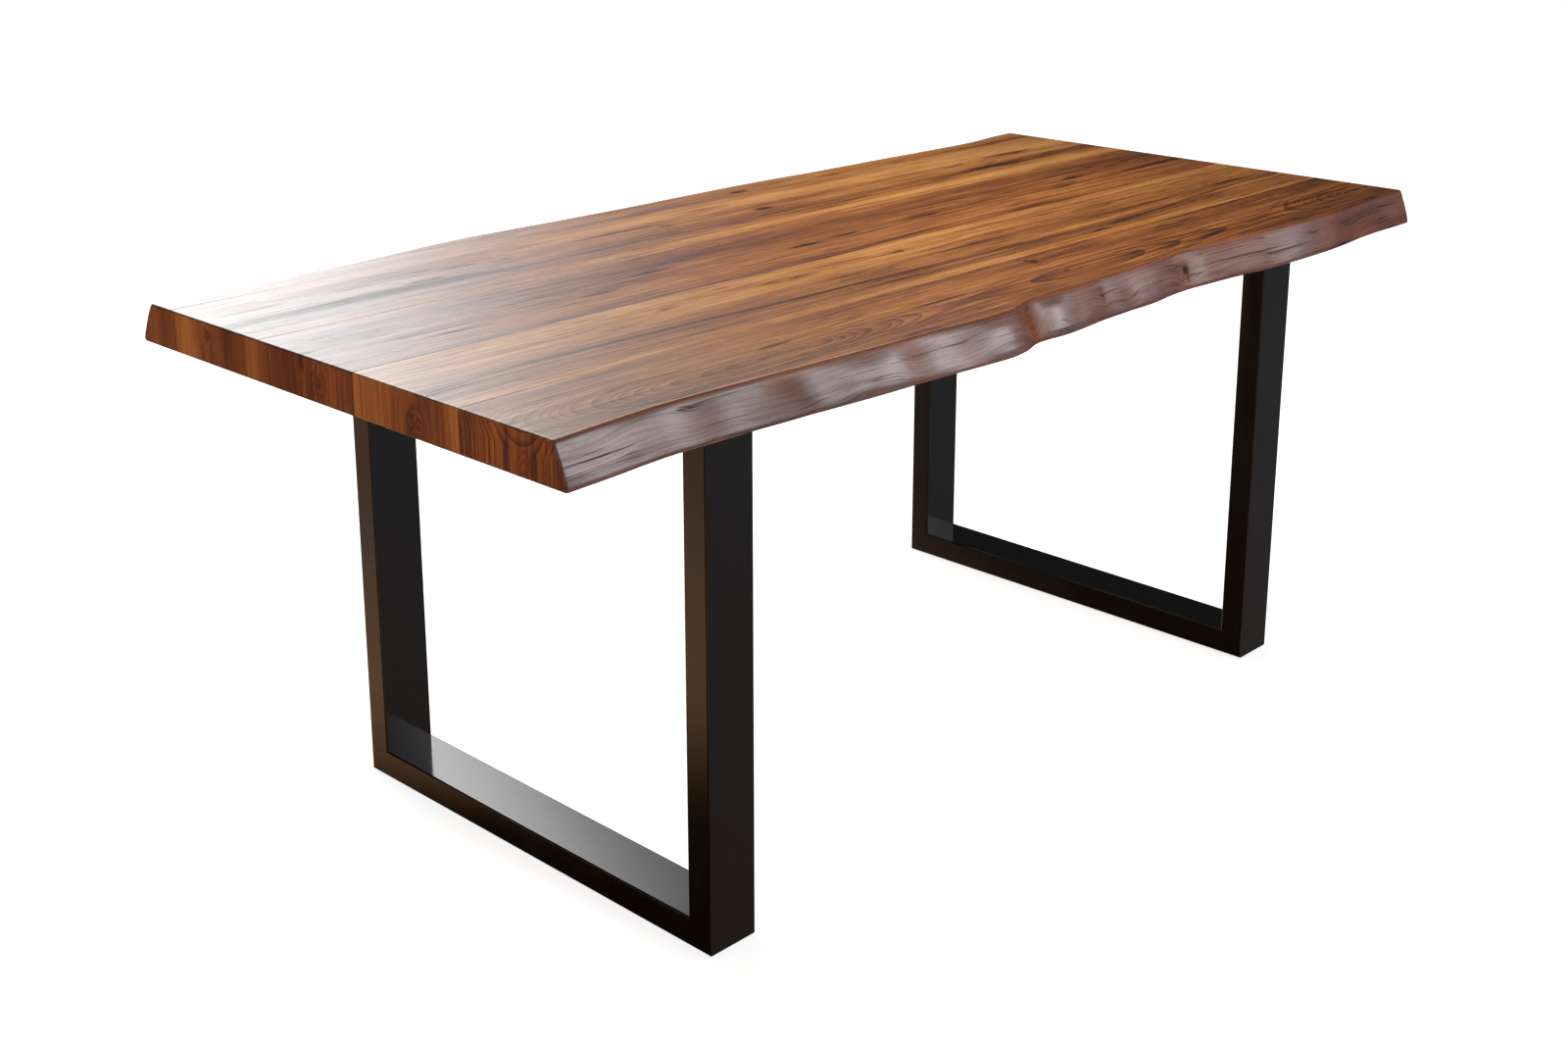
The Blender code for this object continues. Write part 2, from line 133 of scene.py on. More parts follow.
class Studio:
    """The camera, the lights, the white surroundings and the floor."""

    def __init__(self):
        scene = bpy.context.scene
        scene.view_settings.view_transform = "Standard"
        scene.view_settings.look = "None"
        self.add_camera(scene)
        self.add_surroundings(scene)
        for box in SOFT_BOXES:
            self.feather(self.add_soft_box(box), box["lean"], box["brightness"])
        self.add_top_light()
        self.add_floor()

    @staticmethod
    def add_camera(scene):
        data = bpy.data.cameras.new("camera")
        data.lens = CAMERA_LENS
        data.sensor_width = CAMERA_SENSOR
        data.shift_y = CAMERA_SHIFT_Y
        data.clip_start, data.clip_end = CAMERA_CLIP
        scene.camera = add_object("camera", data)
        scene.camera.location = CAMERA_PLACE
        scene.camera.rotation_euler = CAMERA_TURN

    @staticmethod
    def add_surroundings(scene):
        """White to look at, grey for matt surfaces, and dark in reflections but for the glow."""
        world = bpy.data.worlds.new("studio")
        world.use_nodes = True
        world.cycles.sampling_method = "NONE"
        scene.world = world
        graph = Graph(world.node_tree)
        x, _, z = graph.output("TexCoord", "Generated").parts()
        height = z.remap(-1.0, 1.0)
        walls, glow, far_glow = (height.ramp(stops) for stops in (DARK_WALLS, WARM_GLOW, FAR_GLOW))
        glow = x.remap(*FAR_GLOW_TURN, smooth=True).mix(glow, far_glow)
        reflected = x.remap(*GLOW_TURN, smooth=True).mix(walls, glow)
        matt = graph.output("LightPath", "Is Glossy Ray").mix((AMBIENT,) * 3, reflected)
        seen = graph.output("LightPath", "Is Camera Ray").mix(matt, WHITE)
        graph.fill(graph.tree.nodes["Background"], {"Color": seen})

    @staticmethod
    def add_light(name, size, radiance, colour, place, aim):
        data = bpy.data.lights.new(name, "AREA")
        data.shape = "RECTANGLE"
        data.size, data.size_y = size
        data.energy = radiance * math.pi * size[0] * size[1]
        data.color = colour
        light = add_object(name, data)
        light.location = place
        light.rotation_mode = "QUATERNION"
        light.rotation_quaternion = (Vector(aim) - Vector(place)).to_track_quat("-Z", "Y")
        light.visible_camera = False
        return light

    def add_soft_box(self, box):
        turn = Matrix.Rotation(math.radians(box["bearing"]), 4, "Z")
        place = turn @ Vector((SOFT_BOX_DISTANCE, box["aside"], box["middle_height"]))
        aim = turn @ Vector((0, box["aside"], box["middle_height"]))
        return self.add_light(box["name"], box["size"], box["radiance"], box["colour"], place, aim)

    @staticmethod
    def feather(light, lean, brightness):
        """Fades a soft box across its width."""
        light.data.use_nodes = True
        graph = Graph(light.data.node_tree)
        across, up, _ = graph.output("NewGeometry", "Parametric").parts()
        faded = (across + (up - SOFT_BOX_PIVOT) * lean).ramp(brightness)
        graph.fill(graph.tree.nodes["Emission"], {"Strength": faded})

    def add_top_light(self):
        below = (*TOP_LIGHT_PLACE[:2], 0)
        self.add_light("top_softbox", TOP_LIGHT_SIZE, TOP_LIGHT_RADIANCE, WHITE, TOP_LIGHT_PLACE, below)

    @staticmethod
    def add_floor():
        mesh = bpy.data.meshes.new("floor")
        half = FLOOR_SIZE / 2
        rim = [(-half, -half, 0), (half, -half, 0), (half, half, 0), (-half, half, 0)]
        mesh.from_pydata(rim, [], [(0, 1, 2, 3)])
        floor = add_object("floor", mesh)
        floor.visible_glossy = False
        graph = new_material("studio_floor")
        matt = {"Base Color": FLOOR_COLOUR, "Roughness": 0.9, "Specular IOR Level": 0.0}
        graph.shade({**matt, "Emission Color": WHITE, "Emission Strength": FLOOR_GLOW})
        graph.material.cycles.emission_sampling = "NONE"
        mesh.materials.append(graph.material)
        floor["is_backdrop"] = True


# ---------------------------------------------------------------- shader building

SEED_STEPS = (7.31, 3.17, 5.93)  # how far one seed's noise lies from the next


def math_node(operation, **settings):
    """A method that adds a math node."""

    def method(self, other=0.0):
        return self.graph.math(operation, self, other, **settings)

    return method


class Value:
    """An output of a node. Whatever is done with it adds nodes to its graph."""

    def __init__(self, graph, socket):
        self.graph = graph
        self.socket = socket

    __add__ = __radd__ = math_node("ADD")
    __sub__ = math_node("SUBTRACT")
    __mul__ = math_node("MULTIPLY")
    __truediv__ = math_node("DIVIDE")
    __pow__ = math_node("POWER")
    __abs__ = math_node("ABSOLUTE")
    clamped = math_node("ADD", use_clamp=True)
    at_least = math_node("MAXIMUM")
    after_point = math_node("FRACT")

    def __rsub__(self, other):
        return self.graph.math("SUBTRACT", other, self)

    def falloff(self):
        """1 at zero, and less the larger the value is."""
        return self.graph.math("EXPONENT", self * -1.0, 0.0)

    def around_zero(self, amount):
        """A noise about 0.5 turned into one about zero."""
        return (self - 0.5) * (2.0 * amount)

    def remap(self, low, high, to_low=0.0, to_high=1.0, smooth=False):
        kind = "SMOOTHSTEP" if smooth else "LINEAR"
        inputs = {0: self, 1: low, 2: high, 3: to_low, 4: to_high}
        return self.graph.apply("MapRange", inputs, interpolation_type=kind)

    def ramp(self, stops, interpolation="LINEAR"):
        """A colour ramp. Each stop is a place and a grey level or a colour."""
        made = self.graph.node("ValToRGB")
        made.color_ramp.interpolation = interpolation
        elements = made.color_ramp.elements
        while len(elements) < len(stops):
            elements.new(0.5)
        for element, (place, colour) in zip(elements, stops):
            grey = isinstance(colour, (int, float))
            element.position = place
            element.color = (colour,) * 3 + (1.0,) if grey else (*colour, 1.0)
        self.graph.fill(made, {0: self})
        return Value(self.graph, made.outputs[0])

    def curve(self, low, high, points):
        """A curve drawn through (place, height) points between two ends; heights are 0 to 1."""
        made = self.graph.node("FloatCurve")
        line = made.mapping.curves[0]
        while len(line.points) < len(points):
            line.points.new(0.5, 0.5)
        for point, (place, height) in zip(line.points, points):
            point.location = ((place - low) / (high - low), height)
        made.mapping.update()
        self.graph.fill(made, {"Value": self.remap(low, high)})
        return Value(self.graph, made.outputs[0])

    def mix(self, a, b):
        """The colour a where the value is 0, and b where it is 1."""
        return self.graph.apply("Mix", {0: self, 6: a, 7: b}, 2, data_type="RGBA")

    def tinted(self, colour):
        inputs = {0: 1.0, 6: self, 7: colour}
        return self.graph.apply("Mix", inputs, 2, data_type="RGBA", blend_type="MULTIPLY")

    def vector_math(self, operation, other, output="Vector"):
        return self.graph.apply("VectorMath", {0: self, 1: other}, output, operation=operation)

    def parts(self):
        made = self.graph.node("SeparateXYZ")
        self.graph.fill(made, {0: self})
        return [Value(self.graph, output) for output in made.outputs]

    def noise(self, scale, detail=2.0, roughness=0.5, seed=0.0):
        """Noise about 0.5, stretched by a scale for each axis, in features per metre."""
        moved = self.vector_math("MULTIPLY", scale).vector_math("ADD", [seed * step for step in SEED_STEPS])
        inputs = {"Vector": moved, "Scale": 1.0, "Detail": detail, "Roughness": roughness}
        return self.graph.apply("TexNoise", inputs, "Fac")

    def bump(self, distance):
        return self.graph.apply("Bump", {"Height": self, "Distance": distance})


class Graph:
    """The nodes of one material, world, light or node group."""

    def __init__(self, tree, material=None):
        self.tree = tree
        self.material = material

    def node(self, kind, **settings):
        made = self.tree.nodes.new("ShaderNode" + kind)
        for name, value in settings.items():
            setattr(made, name, value)
        return made

    def fill(self, node, inputs):
        """Links a node's inputs, by name or number, to values, or sets them to plain ones."""
        for key, given in inputs.items():
            socket = node.inputs[key]
            if isinstance(given, Value):
                self.tree.links.new(given.socket, socket)
            elif isinstance(given, tuple) and socket.type == "RGBA":
                socket.default_value = (*given, 1.0)
            else:
                socket.default_value = given

    def apply(self, kind, inputs, output=0, **settings):
        made = self.node(kind, **settings)
        self.fill(made, inputs)
        return Value(self, made.outputs[output])

    def output(self, kind, name, **settings):
        return self.apply(kind, {}, name, **settings)

    def math(self, operation, a, b, **settings):
        return self.apply("Math", {0: a, 1: b}, operation=operation, **settings)

    def shade(self, inputs):
        self.fill(self.tree.nodes["Principled BSDF"], inputs)
        return self.material


def vector(x, y, z=0.0):
    return x.graph.apply("CombineXYZ", {0: x, 1: y, 2: z})


def new_material(name):
    material = bpy.data.materials.new(name)
    material.use_nodes = True
    return Graph(material.node_tree, material)


# ---------------------------------------------------------------- wood

# Albedo from the palest sapwood streak to the heart of a knot.
WOOD_TONES = (
    (0.00, (0.440, 0.210, 0.060)),
    (0.25, (0.312, 0.122, 0.028)),
    (0.45, (0.205, 0.069, 0.014)),
    (0.60, (0.143, 0.043, 0.009)),
    (0.80, (0.078, 0.022, 0.005)),
    (1.00, (0.020, 0.007, 0.003)),
)
REDDER = (1.0, 0.88, 0.78)  # multiplies the colour of a red board
END_GRAIN_TINT = (1.12, 0.74, 0.36)
# Growth rings cut through at a board's end: their distance apart, how far they bend down, how much
# they wander and their darkness.
ARCH_SPACING, ARCH_DROP, ARCH_WANDER, ARCH_DARKNESS = 0.0115, 0.024, 0.004, 0.20

# Noise: features per metre along and across the grain, detail, roughness, and its number as a seed.
NOISES = {
    "slow_wave": (1.1, 5.0, 1.0, 0.5, 0),
    "quick_wave": (3.6, 24.0, 3.0, 0.5, 1),
    "streaks": (1.5, 95.0, 4.0, 0.74, 2),
    "fibres": (9.0, 330.0, 4.0, 0.75, 3),
    "mottle": (5.0, 24.0, 2.0, 0.5, 4),
    "pores": (55.0, 1300.0, 2.0, 0.5, 5),
    "ragged": (45.0, 130.0, 2.0, 0.5, 6),
    "hair_lines": (1.6, 70.0, 3.0, 0.55, 7),
    "wisps": (9.0, 240.0, 2.0, 0.5, 8),
    "fine_lines": (2.6, 150.0, 3.0, 0.55, 9),
    "ring_wander": (1.6, 60.0, 1.0, 0.5, 0),
    "arch_wander": (60.0, 40.0, 2.0, 0.5, 0),
    "edge_wave": (3.5, 14.0, 3.0, 0.5, 0),
    "edge_streaks": (3.0, 160.0, 3.0, 0.6, 2),
    "edge_fibres": (34.0, 520.0, 3.0, 0.8, 3),
    "edge_mottle": (14.0, 26.0, 3.0, 0.5, 4),
    "edge_cracks": (7.0, 330.0, 2.0, 0.5, 5),
    "edge_lines": (0.9, 66.0, 3.0, 0.55, 7),
}
# Thin lines that follow the grain: their width, and the level of the patches in which they show.
LINES = {"hair_lines": (0.020, 0.40), "fine_lines": (0.030, 0.42), "edge_lines": (0.009, 0.34)}
LINE_PATCH_FADE = 0.18
MOST_NOISE = (0.3, 0.7)  # most of a noise lies between these levels
# The levels of their noise between which pores, wisps and cracks come in.
PORE_LEVELS, WISP_LEVELS, CRACK_LEVELS = (0.60, 0.74), (0.40, 0.58), (0.66, 0.74)

# How strongly each figure darkens the flat faces, and the ends. Lines are darker inside marks, and
# marks are broken into wisps, so those two have a range. So has the roughness.
FIGURE = {
    "streaks": (0.52, 0.34),
    "fibres": (0.74, 0.34),
    "fine_lines": (0.22, 0.10),
    "lines": ((0.46, 0.74), (0.10, 0.10)),
    "marks": ((0.38, 1.18), (0.55, 0.55)),
    "roughness": ((0.27, 0.38), (0.34, 0.46)),
    "specular": (0.30, 0.15),
}
MOTTLE_DARKNESS, PORE_DARKNESS = 0.12, 0.22
WOOD_BUMP = 0.00012
LACQUER, LACQUER_ROUGHNESS = 0.55, 0.24
SLOW_WAVE, QUICK_WAVE = 0.008, 0.0026  # how far the grain wanders across the board
RAGGED_ALONG, RAGGED_ACROSS = 0.016, 0.0030  # how torn the outlines of the marks are
MARK_CORE = (0.10, 0.85)  # between these shares a mark goes from none to full
MARK_SOFTNESS = 0.45  # keeps the grain from bending too sharply at the middle of a mark
RING_SPACING, RING_WANDER, RING_SHARPNESS, RING_MEAN = 0.0046, 3.0, 2.2, 0.3
LOOK_ENDS = (-0.93, 0.93)  # the ends of the curves drawn along the table

DRIFT_AND_WASH_SHADE_PLACES = (-0.93, -0.65, -0.30, 0.10, 0.40, 0.70, 0.93)
# For each board, from back to front: the tone across it (y, darkness), its redness, how strong its
# growth rings are, and how its tone changes along it, at the places above. That change is partly a
# drift of tone and partly painted shade: it is darker at the -X end of the back and middle boards,
# where the soft box's reflection washes the top. Some have arches of end grain (y, distance down,
# half width), or a cathedral figure: its middle, and its depth along the board.
BOARD_LOOKS = {
    "board_back_live_edge": {
        "tones": (
            (0.361, 0.42), (0.372, 0.5), (0.383, 0.48), (0.396, 0.34), (0.415, 0.36), (0.44, 0.45),
        ),
        "redness": 0.1,
        "rings": 0.1,
        "drift_and_wash_shade": (0.34, 0.22, 0.04, 0.0, -0.18, -0.2, -0.22),
    },
    "board_back_inner": {
        "tones": (
            (0.152, 0.34), (0.158, 0.42), (0.168, 0.22), (0.18, 0.24), (0.19, 0.38), (0.205, 0.52),
            (0.222, 0.62), (0.236, 0.56), (0.25, 0.42), (0.262, 0.4), (0.275, 0.44), (0.288, 0.3),
            (0.302, 0.18), (0.318, 0.14), (0.332, 0.22), (0.35, 0.36), (0.361, 0.42),
        ),
        "redness": 0.1,
        "rings": 0.09,
        "drift_and_wash_shade": (0.34, 0.2, 0.02, -0.03, -0.12, -0.23, -0.14),
        "arches": ((0.272, 0.004, 0.012),),
    },
    "board_middle": {
        "tones": (
            (-0.051, 0.6), (-0.038, 0.52), (-0.024, 0.46), (-0.008, 0.42), (0.004, 0.42), (0.018, 0.44),
            (0.032, 0.54), (0.048, 0.52), (0.064, 0.52), (0.08, 0.58), (0.096, 0.64), (0.112, 0.6),
            (0.128, 0.52), (0.142, 0.46), (0.152, 0.42),
        ),
        "redness": 0.55,
        "rings": 0.12,
        "drift_and_wash_shade": (0.28, 0.05, -0.04, -0.04, -0.09, -0.05, 0.04),
        "arches": ((0.03, 0.01, 0.016),),
    },
    "board_front_inner": {
        "tones": (
            (-0.251, 0.24), (-0.243, 0.2), (-0.234, 0.34), (-0.222, 0.44), (-0.208, 0.5), (-0.196, 0.46),
            (-0.182, 0.38), (-0.17, 0.44), (-0.156, 0.48), (-0.142, 0.4), (-0.128, 0.34), (-0.112, 0.3),
            (-0.096, 0.32), (-0.082, 0.26), (-0.068, 0.18), (-0.058, 0.24), (-0.051, 0.4),
        ),
        "redness": 0.0,
        "rings": 0.12,
        "drift_and_wash_shade": (0.02, -0.08, -0.05, -0.03, 0.05, 0.02, 0.0),
        "arches": ((-0.172, 0.006, 0.02),),
    },
    "board_front_live_edge": {
        "tones": (
            (-0.44, 0.62), (-0.41, 0.54), (-0.395, 0.5), (-0.38, 0.58), (-0.362, 0.56), (-0.345, 0.5),
            (-0.33, 0.46), (-0.315, 0.42), (-0.3, 0.5), (-0.285, 0.5), (-0.27, 0.54), (-0.258, 0.56),
            (-0.251, 0.48),
        ),
        "redness": 0.45,
        "rings": 0.36,
        "drift_and_wash_shade": (-0.05, -0.12, -0.1, -0.03, 0.01, 0.09, 0.07),
        "arches": ((-0.365, 0.014, 0.014),),
        "cathedral": (
            -0.355,
            ((-0.95, 0.085), (-0.87, 0.062), (-0.7, 0.03), (-0.5, 0.016), (-0.36, 0.034), (-0.2, 0.05),
             (0.1, 0.044), (0.4, 0.056), (0.62, 0.06), (0.72, 0.04), (0.84, 0.014), (0.95, 0.004)),
        ),
    },
}
# Knots and dark marks of the top: x, y, half length, half width, swirl and darkness.
TOP_MARKS = (
    (0.14, 0.385, 0.02, 0.007, 0.8, 0.55), (0.36, 0.378, 0.03, 0.008, 0.7, 0.6),
    (0.26, 0.366, 0.06, 0.004, 0.0, 0.35), (0.78, 0.372, 0.18, 0.012, 0.0, 0.3),
    (-0.35, 0.398, 0.03, 0.006, 0.6, 0.3), (0.07, 0.257, 0.024, 0.0085, 1.1, 0.66),
    (-0.2, 0.288, 0.11, 0.0045, 0.2, 0.62), (-0.14, 0.298, 0.07, 0.0035, 0.2, 0.45),
    (-0.13, 0.27, 0.012, 0.008, 0.6, 0.35), (-0.52, 0.286, 0.04, 0.006, 0.8, 0.42),
    (-0.6, 0.25, 0.035, 0.006, 0.8, 0.45), (-0.86, 0.281, 0.06, 0.006, 0.7, 0.45),
    (0.35, 0.276, 0.045, 0.0045, 0.5, 0.44), (0.58, 0.275, 0.03, 0.0036, 0.4, 0.46),
    (0.74, 0.285, 0.075, 0.01, 0.5, 0.55), (0.72, 0.226, 0.28, 0.017, 0.0, 0.5),
    (-0.79, 0.24, 0.12, 0.0016, 0.0, 0.6), (0.24, 0.262, 0.05, 0.0035, 0.4, 0.35),
    (-0.942, 0.268, 0.014, 0.012, 1.0, 0.22), (-0.58, 0.312, 0.33, 0.024, 0.0, 0.28),
    (-0.72, 0.232, 0.26, 0.015, 0.0, 0.5), (0.63, 0.058, 0.024, 0.0075, 0.9, 0.66),
    (0.02, 0.034, 0.026, 0.0055, 0.6, 0.56), (-0.07, 0.027, 0.036, 0.005, 0.5, 0.6),
    (-0.35, 0.066, 0.04, 0.007, 0.8, 0.42), (-0.48, 0.026, 0.034, 0.007, 0.9, 0.42),
    (0.37, 0.044, 0.045, 0.0036, 0.5, 0.46), (0.84, 0.03, 0.11, 0.0075, 0.2, 0.56),
    (0.56, 0.022, 0.026, 0.004, 0.4, 0.5), (-0.73, 0.029, 0.08, 0.0022, 0.3, 0.45),
    (-0.74, 0.008, 0.04, 0.003, 0.5, 0.4), (0.2, 0.034, 0.05, 0.004, 0.4, 0.42),
    (-0.93, 0.055, 0.02, 0.006, 0.6, 0.6), (-0.956, 0.016, 0.02, 0.011, 0.9, 0.3),
    (0.32, -0.225, 0.018, 0.0034, 0.4, 0.6), (0.39, -0.211, 0.022, 0.0032, 0.4, 0.6),
    (0.215, -0.081, 0.05, 0.0028, 0.2, 0.55), (-0.25, -0.104, 0.045, 0.01, 0.8, 0.34),
    (-0.01, -0.101, 0.014, 0.005, 0.7, 0.5), (-0.48, -0.104, 0.024, 0.006, 0.7, 0.36),
    (-0.17, -0.149, 0.05, 0.003, 0.2, 0.36), (0.1, -0.15, 0.11, 0.0035, 0.2, 0.4),
    (0.79, -0.158, 0.08, 0.006, 0.3, 0.45), (0.53, -0.16, 0.08, 0.0036, 0.3, 0.36),
    (-0.974, -0.168, 0.034, 0.018, 1.3, 0.22), (0.07, -0.28, 0.007, 0.018, 0.3, 0.42),
    (0.066, -0.346, 0.008, 0.003, 0.5, 0.5), (-0.33, -0.411, 0.03, 0.006, 0.5, 0.55),
    (-0.5, -0.325, 0.03, 0.004, 0.7, 0.4), (0.78, -0.33, 0.17, 0.006, 0.1, 0.45),
    (-0.2, -0.33, 0.06, 0.003, 0.4, 0.32), (0.42, -0.365, 0.08, 0.004, 0.3, 0.34),
)
CATHEDRAL_ENDS = (-0.95, 0.95)
CATHEDRAL_DEEPEST = 0.2  # the depth at the top of its curve

# The long dark streak that wanders along the front inner board, as (x, y) and (x, strength).
STREAK_PATH = (
    (-0.93, -0.172), (-0.60, -0.174), (-0.20, -0.187), (0.20, -0.200), (0.42, -0.206), (0.70, -0.182),
    (0.93, -0.175),
)
STREAK_STRENGTH = (
    (-0.93, 0.1), (-0.80, 0.5), (-0.45, 1.0), (-0.20, 0.8), (0.20, 0.75), (0.45, 0.5), (0.72, 0.6),
    (0.93, 0.85),
)
STREAK_RANGE = (-0.251, -0.051)  # the edges of that board
STREAK_HALF_WIDTH, STREAK_DARKNESS = 0.0040, 0.56

# Marks of the natural edges: (x, distance down the edge, half length, half height, swirl, darkness).
FRONT_EDGE_MARKS = (
    (-0.87, 0.028, 0.06, 0.0012, 0.0, 0.85), (-0.62, 0.034, 0.11, 0.0008, 0.0, 0.35),
    (-0.4, 0.022, 0.13, 0.0008, 0.0, 0.35), (-0.205, 0.024, 0.06, 0.0007, 0.1, 0.4),
    (-0.06, 0.044, 0.03, 0.001, 0.3, 0.4), (0.052, 0.02, 0.006, 0.014, 0.3, 0.3),
    (0.276, 0.026, 0.009, 0.0075, 1.8, 0.9), (0.258, 0.019, 0.015, 0.0014, 0.3, 0.6),
    (0.294, 0.034, 0.02, 0.0016, 0.3, 0.6), (0.277, 0.036, 0.003, 0.008, 0.2, 0.6),
    (0.43, 0.026, 0.12, 0.0013, 0.1, 0.75), (0.52, 0.032, 0.07, 0.0012, 0.0, 0.65),
    (0.38, 0.014, 0.06, 0.0009, 0.0, 0.45),
)
BACK_EDGE_MARKS = (
    (-0.7, 0.03, 0.11, 0.0012, 0.2, 0.6), (-0.25, 0.022, 0.13, 0.0012, 0.2, 0.55),
    (0.31, 0.03, 0.01, 0.007, 1.0, 0.8), (0.56, 0.034, 0.12, 0.0012, 0.1, 0.65),
    (0.82, 0.02, 0.05, 0.0012, 0.2, 0.5),
)
# How glossy both natural edges are along their length, as (x, share), and how far that leans.
EDGE_GLOSS = (
    (-0.93, 0.6), (-0.84, 0.86), (-0.78, 0.66), (-0.745, 0.95), (-0.7, 0.7), (-0.66, 0.95), (-0.615, 0.75),
    (-0.57, 0.36), (-0.52, 0.95), (-0.48, 0.95), (-0.445, 0.75), (-0.405, 1.0), (-0.37, 0.45),
    (-0.335, 0.8), (-0.3, 1.0), (-0.265, 0.72), (-0.215, 1.0), (-0.165, 0.95), (-0.125, 0.25),
    (-0.095, 0.4), (-0.065, 1.0), (-0.025, 0.9), (0.05, 0.42), (0.08, 0.7), (0.112, 0.42), (0.165, 0.8),
    (0.215, 0.62), (0.25, 0.35), (0.3, 0.6), (0.34, 0.28), (0.43, 0.26), (0.55, 0.7), (0.63, 0.32),
    (0.93, 0.16),
)
EDGE_GLOSS_LEAN = 0.35
EDGE_MIDDLE = 0.028  # the distance down at which the lean keeps the gloss in place
EDGE_CONTOURS = 3.6  # how strongly the grain follows the relief
EDGE_WAVE = 0.0038
EDGE_RING_SPACING = 0.0052
EDGE_BUMP, EDGE_SPECULAR, EDGE_ROUGHNESS = 0.0005, 0.15, (0.26, 0.36)
EDGE_COAT_IOR, EDGE_COAT_ROUGHNESS = 3.2, 0.33
# Distances down between which the rubbed arris ends and the rubbed foot begins, and the relief
# below which a hollow is rubbed bare.
ARRIS_RUBBED, FOOT_RUBBED, HOLLOW_RUBBED = (0.001, 0.0065), (0.049, 0.058), (-0.0040, 0.0)
RUBBED_MOST, GLOSS_WHERE_RUBBED = 0.85, 0.06
OUTER_TONES = ((0.0, (0.300, 0.112, 0.072)), (0.45, (0.185, 0.062, 0.038)), (1.0, (0.034, 0.012, 0.009)))
INNER_TONES = ((0.0, (0.300, 0.108, 0.036)), (0.5, (0.170, 0.056, 0.020)), (1.0, (0.050, 0.018, 0.008)))
CRACK_COLOUR, CRACK_DARKNESS = (0.016, 0.008, 0.006), 0.18


def mark_group():
    """A node group that adds one knot or dark mark to running totals of push and darkness.

    The push bends the grain round the mark, as a stream bends round a stone.
    """
    tree = bpy.data.node_groups.new("wood_mark", "ShaderNodeTree")
    names = ("Place", "Centre", "Size", "Swirl", "Darkness", "Push", "Dark")
    for name in names:
        kind = "NodeSocketVector" if name in names[:3] else "NodeSocketFloat"
        tree.interface.new_socket(name, in_out="INPUT", socket_type=kind)
    for name in names[-2:]:
        tree.interface.new_socket(name, in_out="OUTPUT", socket_type="NodeSocketFloat")
    graph = Graph(tree)
    given = tree.nodes.new("NodeGroupInput").outputs
    place, centre, size, swirl, darkness, push, dark = (Value(graph, given[name]) for name in names)
    offset = place.vector_math("SUBTRACT", centre)
    scaled = offset.vector_math("DIVIDE", size)
    distance = scaled.vector_math("DOT_PRODUCT", scaled, "Value")
    push = push + offset.parts()[1] * swirl / (distance + MARK_SOFTNESS)
    core = distance.falloff().remap(*MARK_CORE, smooth=True)
    outputs = {"Push": push, "Dark": dark.at_least(core * darkness)}
    graph.fill(tree.nodes.new("NodeGroupOutput"), outputs)
    return tree


def add_marks(group, along, across, marks):
    """The total push and darkness of a list of marks."""
    place = vector(along, across)
    push, dark = 0.0, 0.0
    for x, y, half_length, half_width, swirl, darkness in marks:
        made = along.graph.node("Group", node_tree=group)
        given = (place, (x, y, 0.0), (half_length, half_width, 1.0), swirl, darkness, push, dark)
        along.graph.fill(made, dict(enumerate(given)))
        push, dark = (Value(along.graph, output) for output in made.outputs)
    return push, dark


def layer(place, kind, seed):
    """One of the NOISES. Its scale across the grain also holds down into the board."""
    along, across, detail, roughness, number = NOISES[kind]
    return place.noise((along, across, across), detail, roughness, seed + number)


def lines_along(grain, patches, kind, seed):
    """Thin dark LINES that follow the grain, fading in and out with the patches."""
    width, patch = LINES[kind]
    off_line = abs(layer(grain, kind, seed) - 0.5)
    return off_line.remap(0.0, width, 1.0, 0.0) * patches.remap(patch, patch + LINE_PATCH_FADE)


def growth_rings(along, radius, spacing, seed):
    """A saw of late-wood lines: 0 just after a line, 1 on it."""
    wander = layer(vector(along, radius), "ring_wander", seed)
    return (radius * (1.0 / spacing) + wander * RING_WANDER).after_point() ** RING_SHARPNESS


def bent_grain(place, group, marks, seed):
    """Across the board, where the grain at each place comes from, and how dark the marks are there."""
    along, across, _ = place.parts()
    slow = layer(place, "slow_wave", seed).around_zero(SLOW_WAVE)
    quick = layer(place, "quick_wave", seed).around_zero(QUICK_WAVE)
    bent = across + (slow + quick)
    ragged = layer(place, "ragged", seed)
    torn_along = along + ragged.around_zero(RAGGED_ALONG)
    torn_across = bent + ragged.around_zero(RAGGED_ACROSS)
    push, dark = add_marks(group, torn_along, torn_across, marks)
    return bent - push, dark


def tone_across(flow, tones):
    low, high = tones[0][0], tones[-1][0]
    stops = [((y - low) / (high - low), tone) for y, tone in tones]
    return flow.remap(low, high).ramp(stops, "B_SPLINE")


def drift_and_wash_shade_along(along, changes):
    """The slow change of tone along a board, with painted shade at its washed -X end. Its curve is drawn
    about half its height.
    """
    points = [(x, change + 0.5) for x, change in zip(DRIFT_AND_WASH_SHADE_PLACES, changes)]
    return along.curve(*LOOK_ENDS, points) - 0.5


def marks_on(board):
    """The TOP_MARKS of one board."""
    low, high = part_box(board)
    return [mark for mark in TOP_MARKS if low.y < mark[1] < high.y]


